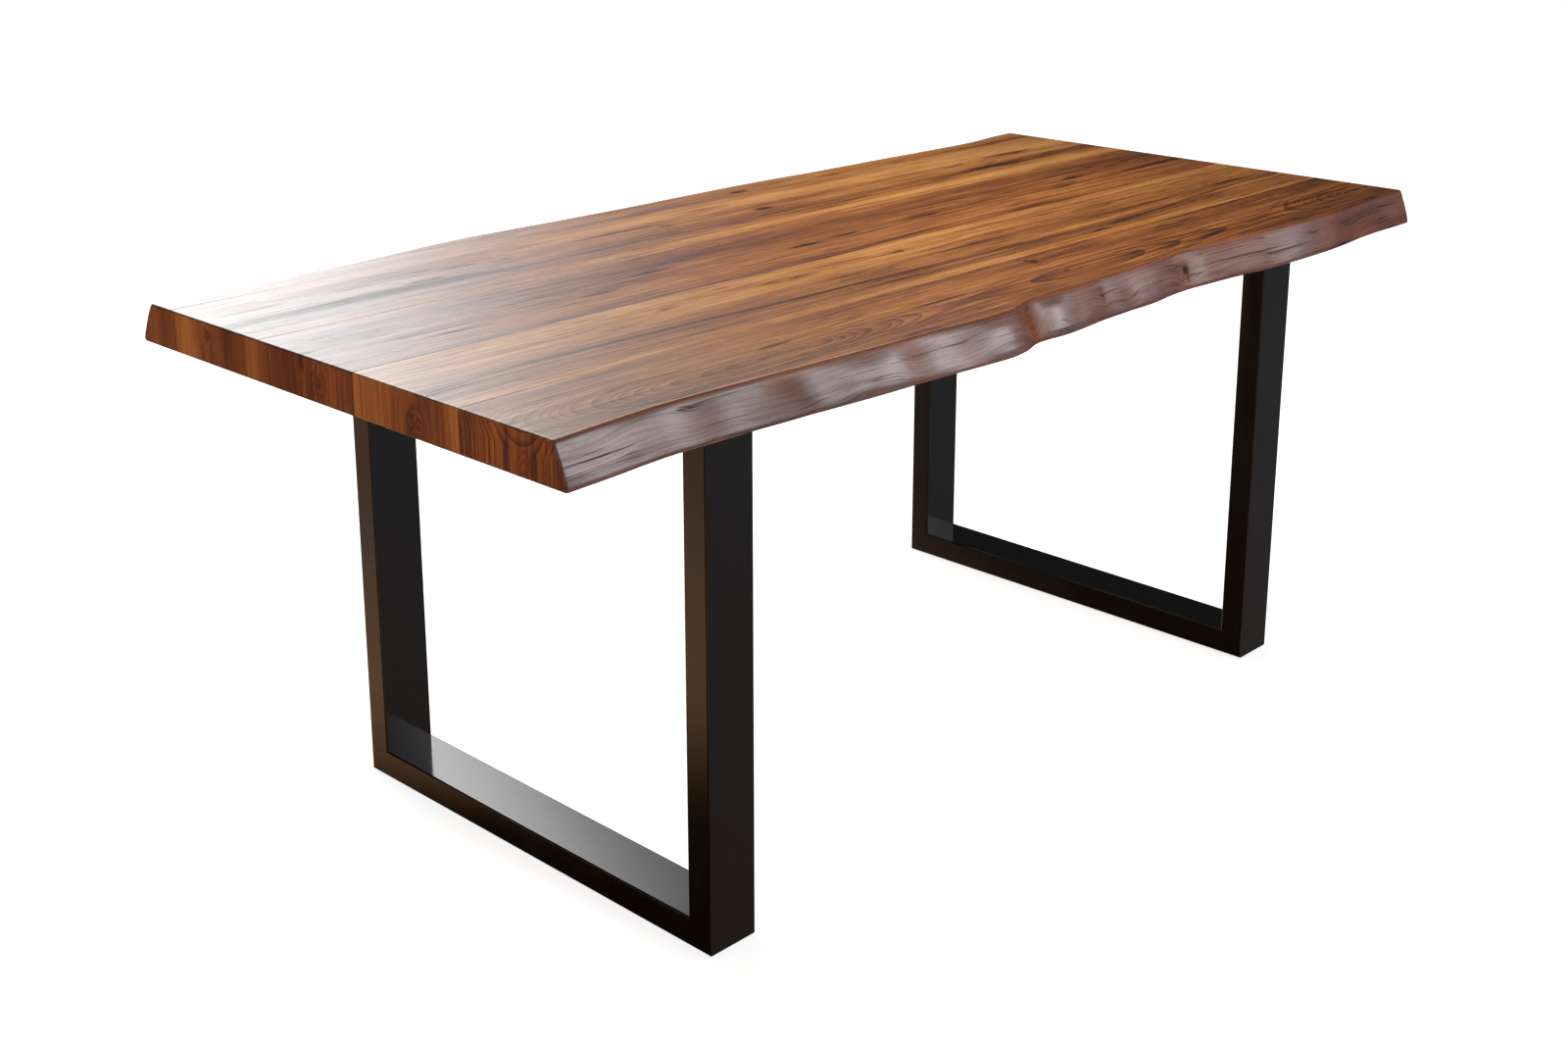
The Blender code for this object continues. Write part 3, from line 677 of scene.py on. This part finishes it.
def board_wood(name, group, seed, end):
    """Lacquered hardwood for the flat faces of one board, or duller hardwood for its ends."""
    look = BOARD_LOOKS[name]
    figure = {kind: face_and_end[end] for kind, face_and_end in FIGURE.items()}
    graph = new_material(name + ("_end_wood" if end else "_wood"))
    place = graph.output("Attribute", "Vector", attribute_name="grain")
    along, across, depth = place.parts()
    flow, marks = bent_grain(place, group, marks_on(name), seed)
    grain = vector(along, flow, depth)
    kinds = ("streaks", "fibres", "mottle", "wisps", "pores")
    streaks, fibres, mottle, wisps, pores = (layer(grain, kind, seed) for kind in kinds)
    pores = pores.remap(*PORE_LEVELS)
    lines = lines_along(grain, mottle, "hair_lines", seed)
    fine_lines = lines_along(grain, streaks, "fine_lines", seed)
    radius = cathedral(along, flow, *look["cathedral"]) if "cathedral" in look else flow
    rings = growth_rings(along, radius, RING_SPACING, seed)
    dark = (
        tone_across(flow, look["tones"])
        + streaks.around_zero(figure["streaks"])
        + fibres.around_zero(figure["fibres"])
        + mottle.around_zero(MOTTLE_DARKNESS)
        + (rings - RING_MEAN) * look["rings"]
        + pores * PORE_DARKNESS
        + lines * marks.remap(0.0, 0.5, *figure["lines"])
        + fine_lines * figure["fine_lines"]
        + marks * wisps.remap(*WISP_LEVELS, *figure["marks"])
    )
    if end:
        dark = dark + end_arches(along, across, look.get("arches", ()))
    else:
        # a drift of tone, with painted shade darkening the -X end where the soft box's reflection washes
        # the top
        dark = dark + drift_and_wash_shade_along(along, look["drift_and_wash_shade"])
    if name == "board_front_inner":
        dark = dark + wandering_streak(along, flow)
    colour = dark.clamped().ramp(WOOD_TONES)
    redness = (mottle.around_zero(0.5) + look["redness"]).clamped()
    colour = redness.mix(colour, colour.tinted(REDDER))
    inputs = {
        "Base Color": colour.tinted(END_GRAIN_TINT) if end else colour,
        "Roughness": streaks.remap(*MOST_NOISE, *figure["roughness"]),
        "Specular IOR Level": figure["specular"],
        "Normal": (fibres * 0.6 - pores * 0.8 - marks * 0.5).bump(WOOD_BUMP),
    }
    if not end:
        dull = lines * 0.45 + marks * 0.75 + fibres.around_zero(0.55)
        inputs["Coat Weight"] = (LACQUER - dull).clamped()
        inputs["Coat Roughness"] = LACQUER_ROUGHNESS
    return graph.shade(inputs)


def end_arches(along, across, arches):
    """Growth rings cut through at the end of a board: arches about (y, distance down, half width)."""
    total = 0.0
    wander = layer(vector(along, across), "arch_wander", 0.0)
    down = abs(along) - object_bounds()[1].x + wander.around_zero(ARCH_WANDER)
    for y, depth, half_width in arches:
        off = (across - y) / half_width
        off = off * off
        rise = down - depth - off * ARCH_DROP
        saw = (rise * (1.0 / ARCH_SPACING)).after_point()
        near = (off * off * 0.25).falloff()
        total = saw * saw * near * rise.remap(0.0, ARCH_SPACING / 2, smooth=True) + total
    return total * ARCH_DARKNESS


def cathedral(along, flow, middle, depths):
    """The distance from the heart of the tree, where its rings are cut near the surface."""
    points = [(x, depth / CATHEDRAL_DEEPEST) for x, depth in depths]
    deep = along.curve(*CATHEDRAL_ENDS, points) * CATHEDRAL_DEEPEST
    off = flow - middle
    return (off * off + deep * deep) ** 0.5


def wandering_streak(along, across):
    """The long dark streak of the front inner board."""
    low, high = STREAK_RANGE
    points = [(x, (y - low) / (high - low)) for x, y in STREAK_PATH]
    middle = along.curve(*LOOK_ENDS, points).remap(0.0, 1.0, low, high)
    off = (across - middle) / STREAK_HALF_WIDTH
    return (off * off).falloff() * along.curve(*LOOK_ENDS, STREAK_STRENGTH) * STREAK_DARKNESS


def rubbed_wood(down, relief, mottle):
    """How far a natural edge is rubbed to paler wood: at its arris, at its foot and in its hollows."""
    near_arris = down.remap(*ARRIS_RUBBED, 1.0, 0.0, smooth=True)
    near_foot = down.remap(*FOOT_RUBBED, smooth=True)
    hollow = (relief + mottle.around_zero(0.0012)).remap(*HOLLOW_RUBBED, 1.0, 0.0)
    return near_arris.at_least(near_foot).at_least(hollow) * RUBBED_MOST


def edge_gloss(along, down, rubbed, dull):
    drawn = (along - (down - EDGE_MIDDLE) * EDGE_GLOSS_LEAN).curve(*LOOK_ENDS, EDGE_GLOSS)
    return (rubbed.remap(0.0, 0.8, 1.0, GLOSS_WHERE_RUBBED) * (1.0 - dull) * drawn).clamped()


def edge_wood(name, group, marks, seed):
    """The natural edge: lacquered outer wood, whose grain follows the relief like map contours."""
    graph = new_material(name + "_natural_edge")
    along, down, relief = graph.output("Attribute", "Vector", attribute_name="grain").parts()
    place = vector(along, down)
    bent = down + layer(place, "edge_wave", seed).around_zero(EDGE_WAVE)
    push, marked = add_marks(group, along, bent, marks)
    flow = bent - push + relief * EDGE_CONTOURS
    grain = vector(along, flow)
    rings = growth_rings(along, flow, EDGE_RING_SPACING, seed)
    kinds = ("edge_streaks", "edge_fibres", "edge_cracks")
    streaks, fibres, cracks = (layer(grain, kind, seed) for kind in kinds)
    mottle = layer(place, "edge_mottle", seed)
    lines = lines_along(grain, mottle, "edge_lines", seed)
    rubbed = rubbed_wood(down, relief, mottle)
    waves = streaks.around_zero(0.50) + mottle.around_zero(0.30) + fibres.around_zero(0.30)
    shade = waves + rings * 0.20 + lines * 0.60 + 0.40
    split = (marked + cracks.remap(*CRACK_LEVELS) * CRACK_DARKNESS).clamped()
    dull = split + lines * 0.75 + rings * 0.16 + fibres.around_zero(-0.7)
    height = streaks * 0.10 + fibres * 0.24 - split * 1.4 - lines * 0.3
    inputs = {
        "Base Color": split.mix(rubbed.mix(shade.ramp(OUTER_TONES), shade.ramp(INNER_TONES)), CRACK_COLOUR),
        "Roughness": mottle.remap(*MOST_NOISE, *EDGE_ROUGHNESS),
        "Specular IOR Level": EDGE_SPECULAR,
        "Normal": height.bump(EDGE_BUMP),
        "Coat Weight": edge_gloss(along, down, rubbed, dull),
        "Coat Roughness": EDGE_COAT_ROUGHNESS,
        "Coat IOR": EDGE_COAT_IOR,
    }
    return graph.shade(inputs)


# ---------------------------------------------------------------- board shapes

STATION_STEP = 0.004  # lengthwise
TOP_COLUMNS = 10
EDGE_ROW = 0.0024  # height of the rows down a natural edge
GLUED_ARRIS = 0.0007
END_ROUND, END_ROUND_STEPS = 0.0020, 3
TOP_ARRIS_ROUND = 0.0009
EASED_ARRIS, EASED_REACH = 0.0014, 0.0075  # the hand-eased band under the top arris of a natural edge
BOTTOM_ARRIS_ROUND = 0.0050
ARRIS_ROUND_STEPS = 4
ARRIS_SHARE = 0.03  # of the edge's height: how far the two arrises reach
EDGE_BULGE = 0.0015
OUTLINE_SMOOTHING, OUTLINE_STEP = 0.020, 0.001
SAME_HEIGHT = 1e-4
SHARP_ANGLE = 40  # degrees

# Valleys and lobes of the natural edges: x, height (0 top to 1 bottom), half width, half height,
# relief and slant.
RELIEF_SLANT = 0.12
FRONT_RELIEF = (
    (-0.12, 0.55, 0.022, 1.6, -0.0046, 0.08), (-0.2, 0.55, 0.046, 0.6, 0.0036, 0.05),
    (-0.062, 0.45, 0.03, 0.7, 0.0036, 0.1), (0.052, 0.3, 0.018, 0.4, -0.0008, 0.05),
    (0.112, 0.75, 0.022, 0.5, -0.0012, 0.15), (0.276, 0.55, 0.024, 0.4, -0.0014, 0.0),
    (0.205, 0.4, 0.044, 0.8, 0.0012, 0.2), (-0.575, 0.5, 0.024, 1.2, -0.001, 0.3),
    (-0.45, 0.5, 0.06, 0.9, 0.0016, 0.0), (-0.365, 0.5, 0.026, 1.2, -0.0009, -0.1),
    (0.4, 0.4, 0.09, 0.8, 0.0018, 0.0),
)
BACK_RELIEF = (
    (-0.52, 0.5, 0.03, 1.2, -0.003, 0.25), (-0.4, 0.5, 0.06, 0.8, 0.0026, 0.0),
    (0.05, 0.55, 0.07, 0.8, 0.0022, 0.1), (0.31, 0.5, 0.016, 0.7, -0.0028, -0.15),
    (0.7, 0.5, 0.05, 0.9, 0.002, 0.1),
)
# Smooth noise of the relief: features along the edge and down it, lean, relief and seed.
RELIEF_NOISE = ((7.0, 0.8, 0.0, 0.0022, 0.0), (17.0, 1.6, 0.0, 0.0010, 5.0), (11.0, 7.0, 2.0, 0.0004, 9.0))
RELIEF_FADE_IN = 0.28  # share of the height over which the relief grows under the top arris
RELIEF_FADE_OUT = 0.2  # share of the height over which it fades at the foot
RELIEF_LOST_AT_FOOT = 0.4


def edge_outline(node, height, outward, x):
    """The smoothed y of the CAD board's natural edge at one height, at each x."""
    places = np.array([vertex.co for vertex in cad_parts[node].data.vertices])
    low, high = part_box(node)
    glued, outer = (low.y, high.y) if outward > 0 else (high.y, low.y)
    level = places[np.abs(places[:, 2] - height) < SAME_HEIGHT]
    level = level[(level[:, 1] - (glued + outer) / 2) * outward > 0]
    level = level[np.argsort(level[:, 0])]
    fine = np.arange(low.x, high.x, OUTLINE_STEP)
    y = np.interp(fine, level[:, 0], level[:, 1])
    reach = int(OUTLINE_SMOOTHING / OUTLINE_STEP)
    padded = np.pad(y, reach, mode="reflect", reflect_type="odd")
    window = np.hanning(2 * reach + 1)
    return np.interp(x, fine, np.convolve(padded, window / window.sum(), mode="valid"))


def edge_relief(x, share, spots, seed):
    """How far the natural edge stands out at each x and share of its height, in metres."""
    relief = np.zeros(np.broadcast(x, share).shape)
    for middle, level, half_width, half_height, height, slant in spots:
        off = (x - middle - slant * (share - 0.5) * RELIEF_SLANT) / half_width
        relief = relief + height * np.exp(-(off**2) - ((share - level) / half_height) ** 2)
    for row, column in np.ndindex(relief.shape):
        px, ps = x[row, 0], share[0, column]
        for along, down, lean, height, number in RELIEF_NOISE:
            spot = Vector((px * along + ps * lean, ps * down, seed + number))
            relief[row, column] += height * noise.noise(spot)
    fade_in = np.clip(share / RELIEF_FADE_IN, 0, 1)
    past_fade = np.clip((share - 1 + RELIEF_FADE_OUT) / RELIEF_FADE_OUT, 0, 1)
    return relief * fade_in**2 * (3 - 2 * fade_in) * (1 - RELIEF_LOST_AT_FOOT * past_fade)


def round_rows(radius, steps=ARRIS_ROUND_STEPS):
    """Distances from a corner at which a rounding of this radius needs rows."""
    turns = np.arange(steps, 0, -1) * (math.pi / 2 / steps)
    return radius * (1 - np.sin(turns))


def edge_rows(thickness):
    """Distances down a natural edge: fine at its two rounded corners, even between them."""
    foot = thickness - round_rows(BOTTOM_ARRIS_ROUND)[::-1]
    count = round((foot[0] - TOP_ARRIS_ROUND) / EDGE_ROW)
    between = np.linspace(TOP_ARRIS_ROUND, foot[0], count + 1)[:-1]
    return np.concatenate([round_rows(TOP_ARRIS_ROUND), between, foot])


def corner_inset(distance, radius):
    """How far a rounded corner lies inside its sharp one, at a distance from the corner."""
    near = np.clip(1 - distance / radius, 0, 1)
    return radius * (1 - np.sqrt(1 - near**2))


class BoardMesh:
    """One board as a loft along X, with a grain coordinate at each face corner."""

    WOOD, END, EDGE = 0, 1, 2

    def __init__(self, node, live_side, spots, seed):
        self.node = node
        self.low, self.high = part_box(node)
        self.live_side = live_side
        self.spots = spots
        self.seed = seed
        self.stations = self.make_stations()
        from_end = np.minimum(self.stations - self.low.x, self.high.x - self.stations)
        self.inset = corner_inset(from_end, END_ROUND)
        self.columns = []  # (places, grain, whether on the natural edge), along the stations
        self.build_loop()

    def make_stations(self):
        """The x of the sections, which are close where the ends are rounded."""
        near = round_rows(END_ROUND, END_ROUND_STEPS)
        count = round((self.high.x - self.low.x) / STATION_STEP)
        inner = np.linspace(self.low.x + END_ROUND, self.high.x - END_ROUND, count)
        return np.concatenate([self.low.x + near, inner, self.high.x - near[::-1]])

    def add_column(self, y, z, across, depth, inward, live=False):
        y, z = y + inward[0] * self.inset, z + inward[1] * self.inset
        place = np.stack([self.stations, y, z], -1)
        grain = np.stack(np.broadcast_arrays(self.stations, across, depth), -1)
        self.columns.append((place, grain, live))

    def side(self, outward):
        """Columns down one side, from the top face to the bottom one."""
        top, bottom = self.high.z, self.low.z
        if outward != self.live_side:
            y = self.high.y if outward > 0 else self.low.y
            c = GLUED_ARRIS
            for dy, z, up in ((c, top, 1), (0, top - c, 1), (0, bottom + c, -1), (c, bottom, -1)):
                yield y - outward * dy, z, top - z, (0, -up), False
            return
        top_line = edge_outline(self.node, top, outward, self.stations)
        foot_line = edge_outline(self.node, bottom, outward, self.stations)
        rows = edge_rows(top - bottom)
        share = rows / (top - bottom)
        relief = edge_relief(self.stations[:, None], share[None, :], self.spots, self.seed)
        for k, distance in enumerate(rows):
            out = EDGE_BULGE * math.sin(math.pi * share[k]) + relief[:, k]
            out = out - corner_inset(distance, TOP_ARRIS_ROUND)
            out = out - EASED_ARRIS * max(0.0, 1 - distance / EASED_REACH) ** 2
            out = out - corner_inset(top - bottom - distance, BOTTOM_ARRIS_ROUND)
            y = top_line + (foot_line - top_line) * share[k] + outward * out
            up = int(share[k] < ARRIS_SHARE) - int(share[k] > 1 - ARRIS_SHARE)
            yield y, top - distance, (distance, relief[:, k]), (-outward, -up), True

    def build_loop(self):
        """Columns round the section: over the top from front to back, down, under and up."""
        top, bottom = self.high.z, self.low.z
        front, back = list(self.side(-1)), list(self.side(1))
        for start, end, z, depth, up in (
            (front[0], back[0], top, 0.0, 1),
            (back[-1], front[-1], bottom, top - bottom, -1),
        ):
            side = back if up > 0 else front[::-1]
            for k in range(1, TOP_COLUMNS):
                y = start[0] + (end[0] - start[0]) * k / TOP_COLUMNS
                self.add_column(y, z, y, depth, (0, -up))
            for y, side_z, own, inward, live in side:
                across, deep = own if live else (y, own)
                self.add_column(y, side_z, across, deep, inward, live)

    def end_grain(self, ring, outward):
        """The figure of the top carried down over the end."""
        edge = self.high.x if outward > 0 else self.low.x
        along = edge + outward * (self.high.z - ring[:, 2])
        return np.stack([along, ring[:, 1], np.zeros_like(along)], -1)

    def long_faces(self, places):
        """The faces along the board: polygons, grain at their corners, and material slots."""
        live_grain = np.stack([column[1] for column in self.columns], 1)
        live = [column[2] for column in self.columns]
        flat_grain = places * (1, 1, -1) + (0, 0, self.high.z)
        index = np.arange(places.shape[0] * places.shape[1]).reshape(places.shape[:2])
        faces, grains, slots = [], [], []
        for j in range(places.shape[1]):
            k = (j + 1) % places.shape[1]
            on_edge = live[j] and live[k]
            grain = live_grain if on_edge else flat_grain
            faces.append(np.stack([index[:-1, j], index[:-1, k], index[1:, k], index[1:, j]], -1))
            corners_grain = (grain[:-1, j], grain[:-1, k], grain[1:, k], grain[1:, j])
            grains.append(np.stack(corners_grain, 1).reshape(-1, 3))
            slots += [self.EDGE if on_edge else self.WOOD] * (places.shape[0] - 1)
        return index, np.concatenate(faces).tolist(), grains, slots

    def make(self, name, materials):
        places = np.stack([column[0] for column in self.columns], 1)
        index, polygons, grains, slots = self.long_faces(places)
        for ring, outward, order in ((0, -1, slice(None, None, -1)), (-1, 1, slice(None))):
            polygons.append(index[ring][order].tolist())
            grains.append(self.end_grain(places[ring], outward)[order])
            slots.append(self.END)
        mesh = bpy.data.meshes.new(name)
        mesh.from_pydata(places.reshape(-1, 3).tolist(), [], polygons)
        attribute = mesh.attributes.new("grain", "FLOAT_VECTOR", "CORNER")
        attribute.data.foreach_set("vector", np.concatenate(grains).astype(np.float32).ravel())
        mesh.polygons.foreach_set("material_index", slots)
        for material in materials:
            mesh.materials.append(material)
        finish_piece(name, mesh, self.node)


def finish_piece(name, mesh, node):
    """Links a detailed piece, shades it, and hides the CAD node it stands for."""
    mesh.validate()
    mesh.shade_smooth()
    mesh.set_sharp_from_angle(angle=math.radians(SHARP_ANGLE))
    piece = add_object(name, mesh)
    piece.modifiers.new("weighted_normals", "WEIGHTED_NORMAL").keep_sharp = True
    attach(piece, "root")
    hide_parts(node)


def make_boards():
    group = mark_group()
    edges = {
        "board_back_live_edge": (1, BACK_RELIEF, BACK_EDGE_MARKS),
        "board_front_live_edge": (-1, FRONT_RELIEF, FRONT_EDGE_MARKS),
    }
    for number, node in enumerate(BOARD_LOOKS):
        materials = [board_wood(node, group, 1.0 + 11.0 * number, end) for end in (False, True)]
        side, relief, marks = edges.get(node, (0, (), ()))
        if side:
            materials.append(edge_wood(node, group, marks, seed=3.0 + 7.0 * number))
        board = BoardMesh(node, side, relief, seed=20.0 + 13.0 * number)
        board.make(node + "_detailed", materials)


# ---------------------------------------------------------------- steel frames

TUBE_WALL = 0.003
TUBE_CORNER = 0.0024
TUBE_INNER_CORNER = 0.0012
CORNER_STEPS = 4
COAT_DARK, COAT_LIGHT = (0.0020, 0.0013, 0.0010), (0.0034, 0.0024, 0.0018)
COAT_ROUGHNESS = (0.085, 0.13)
COAT_IOR = 2.0
ORANGE_PEEL = 0.000006


def coated_steel():
    """Black powder coat with a satin gloss and a faint orange peel."""
    graph = new_material("black_powder_coat")
    place = graph.output("TexCoord", "Object")
    peel = place.noise((140.0, 140.0, 140.0), detail=1.0)
    cloud = place.noise((9.0, 9.0, 5.0), detail=3.0, seed=4.0)
    inputs = {
        "Base Color": cloud.mix(COAT_DARK, COAT_LIGHT),
        "Roughness": cloud.remap(*MOST_NOISE, *COAT_ROUGHNESS),
        "Normal": peel.bump(ORANGE_PEEL),
        "IOR": COAT_IOR,
    }
    return graph.shade(inputs)


# Finishes of the small parts: fineness, the two colours, the two ends of the roughness, the height
# of the bumps and whether it is metal.
SMALL_FINISHES = {
    "zinc_plated_steel": ((160.0,) * 3, (0.42, 0.44, 0.47), (0.62, 0.62, 0.60), (0.28, 0.42), 0.00004, 1.0),
    "yellow_zinc": ((200.0,) * 3, (0.50, 0.36, 0.14), (0.66, 0.55, 0.28), (0.30, 0.45), 0.00004, 1.0),
    "beech": ((600.0, 30.0, 600.0), (0.60, 0.40, 0.22), (0.44, 0.27, 0.13), (0.55, 0.68), 0.0001, 0.0),
    "dark_felt": ((1800.0,) * 3, (0.012, 0.012, 0.012), (0.045, 0.044, 0.042), (0.90, 1.0), 0.0004, 0.0),
}
# The CAD pieces that are shown as they are, by the start of their names.
SMALL_PARTS = {
    "zinc_plated_steel": ("bolt_", "washer_"),
    "yellow_zinc": "threaded_insert_",
    "beech": "dowel_",
    "dark_felt": "glide_",
}


def small_finish(name):
    fineness, light, dark, roughness, bump, metallic = SMALL_FINISHES[name]
    graph = new_material(name)
    grain = graph.output("TexCoord", "Object").noise(fineness, detail=3.0, roughness=0.6)
    inputs = {
        "Base Color": grain.remap(0.35, 0.65).mix(light, dark),
        "Roughness": grain.remap(*MOST_NOISE, *roughness),
        "Normal": grain.bump(bump),
        "Metallic": metallic,
    }
    return graph.shade(inputs)


def rounded_rectangle(half_a, half_b, radius):
    """Corner-rounded outline, counter-clockwise, as (a, b) pairs."""
    points = []
    for quarter, (sa, sb) in enumerate(((1, 1), (-1, 1), (-1, -1), (1, -1))):
        for k in range(CORNER_STEPS + 1):
            angle = math.pi / 2 * (quarter + k / CORNER_STEPS)
            a = sa * (half_a - radius) + radius * math.cos(angle)
            b = sb * (half_b - radius) + radius * math.sin(angle)
            points.append((a, b))
    return points


class Frame:
    """One welded U-frame. Its tubes meet on their mitre planes with no gap, as if ground flush."""

    def __init__(self, name, steel):
        self.name = name
        self.steel = steel
        low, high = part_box(name + "_rail")
        self.x = (low.x + high.x) / 2
        self.half_depth = (high.x - low.x) / 2
        self.bottom = low.z
        self.half_tube = (high.z - low.z) / 2
        self.half_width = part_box(name + "_mounting_plate")[1].y
        self.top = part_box(name + "_upright_front")[1].z

    def rail_point(self, a, b, end):
        """A point of the rail's outline on the mitre plane at one end."""
        up = self.half_tube + b
        return (self.x + a, end * (self.half_width - up), self.bottom + up)

    def upright_point(self, a, b, side, upper):
        """A point of an upright's outline on its mitre plane, or at its top."""
        y = self.half_width - self.half_tube + b
        z = self.top if upper else self.bottom + (self.half_width - y)
        return (self.x + a, side * y, z)

    def tube(self, node, point):
        """A hollow tube between two end planes. point(a, b, end) places an outline point."""
        name = node + "_tube"
        bm = bmesh.new()
        rings = {}
        for shell, corner in enumerate((TUBE_CORNER, TUBE_INNER_CORNER)):
            wall = shell * TUBE_WALL
            outline = rounded_rectangle(self.half_depth - wall, self.half_tube - wall, corner)
            for end in (0, 1):
                rings[shell, end] = [bm.verts.new(point(a, b, end)) for a, b in outline]
        count = len(rings[0, 0])
        for k in range(count):
            n = (k + 1) % count
            for shell in (0, 1):
                near, far = rings[shell, 0], rings[shell, 1]
                bm.faces.new((near[k], near[n], far[n], far[k]))
            for end in (0, 1):
                outer, inner = rings[0, end], rings[1, end]
                bm.faces.new((outer[k], outer[n], inner[n], inner[k]))
        bmesh.ops.recalc_face_normals(bm, faces=bm.faces)
        mesh = bpy.data.meshes.new(name)
        bm.to_mesh(mesh)
        bm.free()
        mesh.materials.append(self.steel)
        finish_piece(name, mesh, node)

    def make(self):
        self.tube(self.name + "_rail", lambda a, b, end: self.rail_point(a, b, 1 if end else -1))
        for side, node in ((-1, "_upright_front"), (1, "_upright_back")):
            self.tube(self.name + node, lambda a, b, end, s=side: self.upright_point(a, b, s, end))
        set_material(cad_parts[self.name + "_mounting_plate"], self.steel)


def make_frames():
    steel = coated_steel()
    for name in ("frame_left", "frame_right"):
        Frame(name, steel).make()


def set_material(node_object, material):
    node_object.data.materials.clear()
    node_object.data.materials.append(material)


def finish_small_parts():
    for finish, starts in SMALL_PARTS.items():
        material = small_finish(finish)
        for name, node_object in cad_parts.items():
            if name.startswith(starts):
                set_material(node_object, material)


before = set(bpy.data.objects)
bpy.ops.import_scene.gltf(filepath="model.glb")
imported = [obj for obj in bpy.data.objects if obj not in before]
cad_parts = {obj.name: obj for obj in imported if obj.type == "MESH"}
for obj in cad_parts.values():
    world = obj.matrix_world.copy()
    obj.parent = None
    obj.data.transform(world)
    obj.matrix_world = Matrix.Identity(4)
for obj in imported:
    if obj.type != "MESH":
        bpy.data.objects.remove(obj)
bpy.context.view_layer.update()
Studio()
make_boards()
make_frames()
finish_small_parts()
